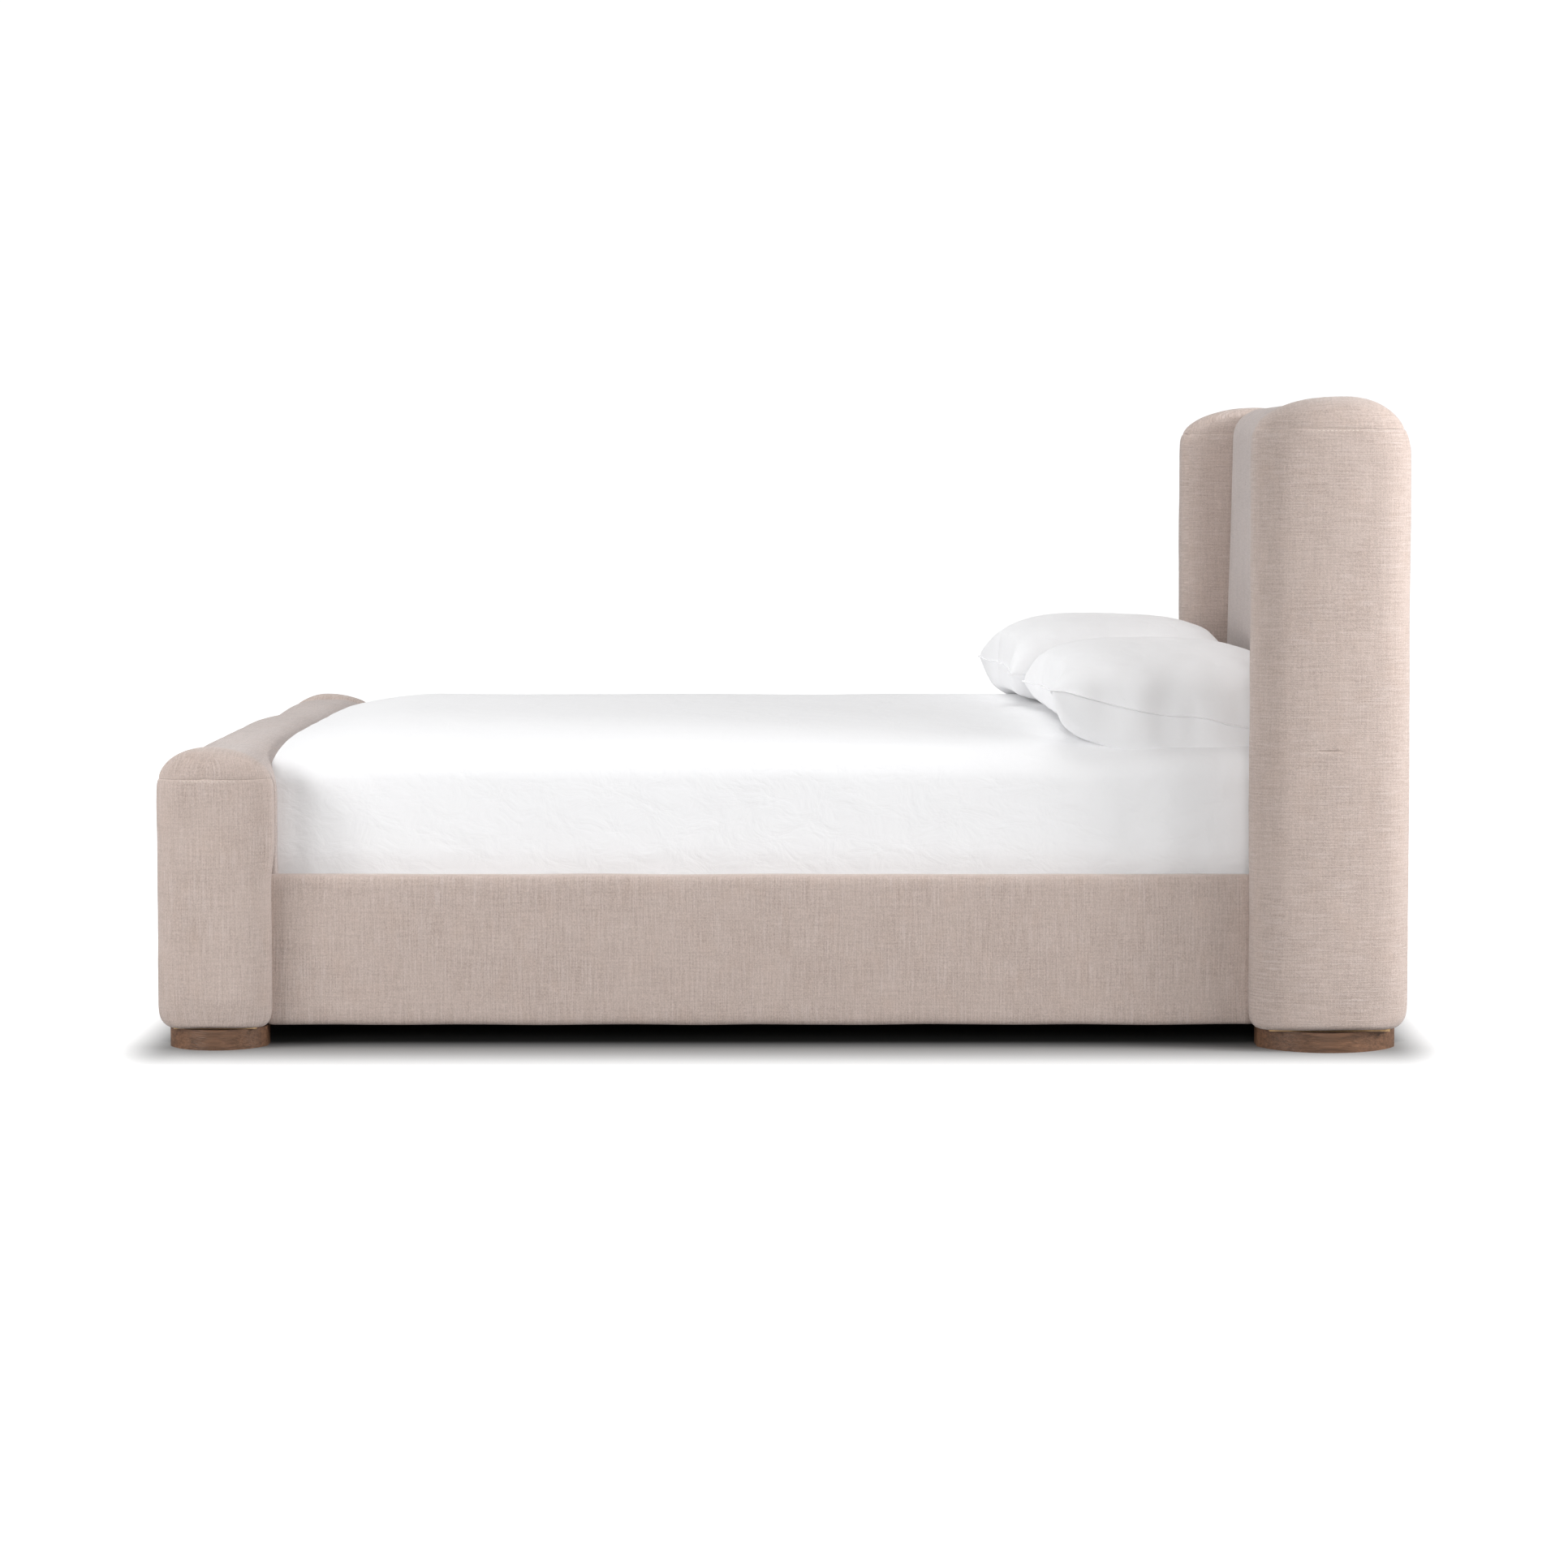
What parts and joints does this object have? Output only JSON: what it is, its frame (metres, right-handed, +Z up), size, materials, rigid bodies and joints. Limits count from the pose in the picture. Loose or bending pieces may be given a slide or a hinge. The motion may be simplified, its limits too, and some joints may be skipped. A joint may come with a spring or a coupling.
{
  "type": "upholstered headboard bed",
  "caption": "Fabric bed with a tall winged headboard, low padded footboard with end posts, side rails, wooden feet, slatted base, mattress and pillows.",
  "frame": {"origin": "middle of the bed's footprint, on the floor", "axes": "+Y towards the headboard, +X to the right-hand side seen from the foot end, +Z up"},
  "size_m": [1.84, 2.485, 1.2946],
  "materials": {
    "linen": "matte",
    "foam": "matte",
    "lining_cloth": "matte",
    "webbing": "matte",
    "sheet_cotton": "matte",
    "mattress_ticking": "matte",
    "pillow_cotton": "matte",
    "pine": "matte",
    "plywood": "matte",
    "stained_wood": "satin",
    "steel": "satin",
    "leveller_plastic": "matte"
  },
  "bodies": {
    "frame": {"beam_saddles": "steel", "bolts": "steel", "centre_beam": "pine", "centre_leg_1": "pine", "centre_leg_2": "pine", "centre_leg_3": "pine", "corner_brackets": "steel", "dowels": "pine", "footboard_bottom_rail": "pine", "footboard_cover": "linen", "footboard_foam": "foam", "footboard_inner_board": "plywood", "footboard_outer_board": "plywood", "footboard_studs": "pine", "footboard_top_rail": "pine", "head_foot_left": "stained_wood", "head_foot_right": "stained_wood", "headboard_back_cloth": "lining_cloth", "headboard_board": "plywood", "headboard_bottom_rail": "pine", "headboard_cover": "linen", "headboard_foam": "foam", "headboard_studs": "pine", "headboard_top_rail": "pine", "joint_plates": "steel", "post_cap_left": "linen", "post_cap_right": "linen", "post_cover_left": "linen", "post_cover_right": "linen", "post_foam_left": "foam", "post_foam_right": "foam", "post_frame_left": "pine", "post_frame_right": "pine", "rail_board_left": "plywood", "rail_board_right": "plywood", "rail_cover_left": "linen", "rail_cover_right": "linen", "rail_foam_left": "foam", "rail_foam_right": "foam", "slat_ledge_left": "pine", "slat_ledge_right": "pine", "slat_straps": "webbing", "slats": "pine", "tail_foot_left": "stained_wood", "tail_foot_right": "stained_wood", "wing_cap_left": "linen", "wing_cap_right": "linen", "wing_cover_left": "linen", "wing_cover_right": "linen", "wing_foam_left": "foam", "wing_foam_right": "foam", "wing_frame_left": "pine", "wing_frame_right": "pine"},
    "mattress": {"mattress": "mattress_ticking", "fitted_sheet": "sheet_cotton"},
    "pillow_right": {"pillow_right": "pillow_cotton"},
    "pillow_left": {"pillow_left": "pillow_cotton"},
    "leveller_1": {"leveller_1": "leveller_plastic"},
    "leveller_2": {"leveller_2": "leveller_plastic"},
    "leveller_3": {"leveller_3": "leveller_plastic"}
  },
  "joints": [
    {"name": "mattress_lift", "type": "slide", "parent": "frame", "child": "mattress", "axis": [0, 0, 1], "range_m": [0, 1.06]},
    {"name": "pillow_right_lift", "type": "slide", "parent": "mattress", "child": "pillow_right", "axis": [0, 0, 1], "range_m": [0, 0.72]},
    {"name": "pillow_left_lift", "type": "slide", "parent": "mattress", "child": "pillow_left", "axis": [0, 0, 1], "range_m": [0, 0.72]},
    {"name": "leveller_1_screw", "type": "slide", "parent": "frame", "child": "leveller_1", "axis": [0, 0, 1], "range_m": [0, 0.015]},
    {"name": "leveller_2_screw", "type": "slide", "parent": "frame", "child": "leveller_2", "axis": [0, 0, 1], "range_m": [0, 0.015]},
    {"name": "leveller_3_screw", "type": "slide", "parent": "frame", "child": "leveller_3", "axis": [0, 0, 1], "range_m": [0, 0.015]}
  ]
}
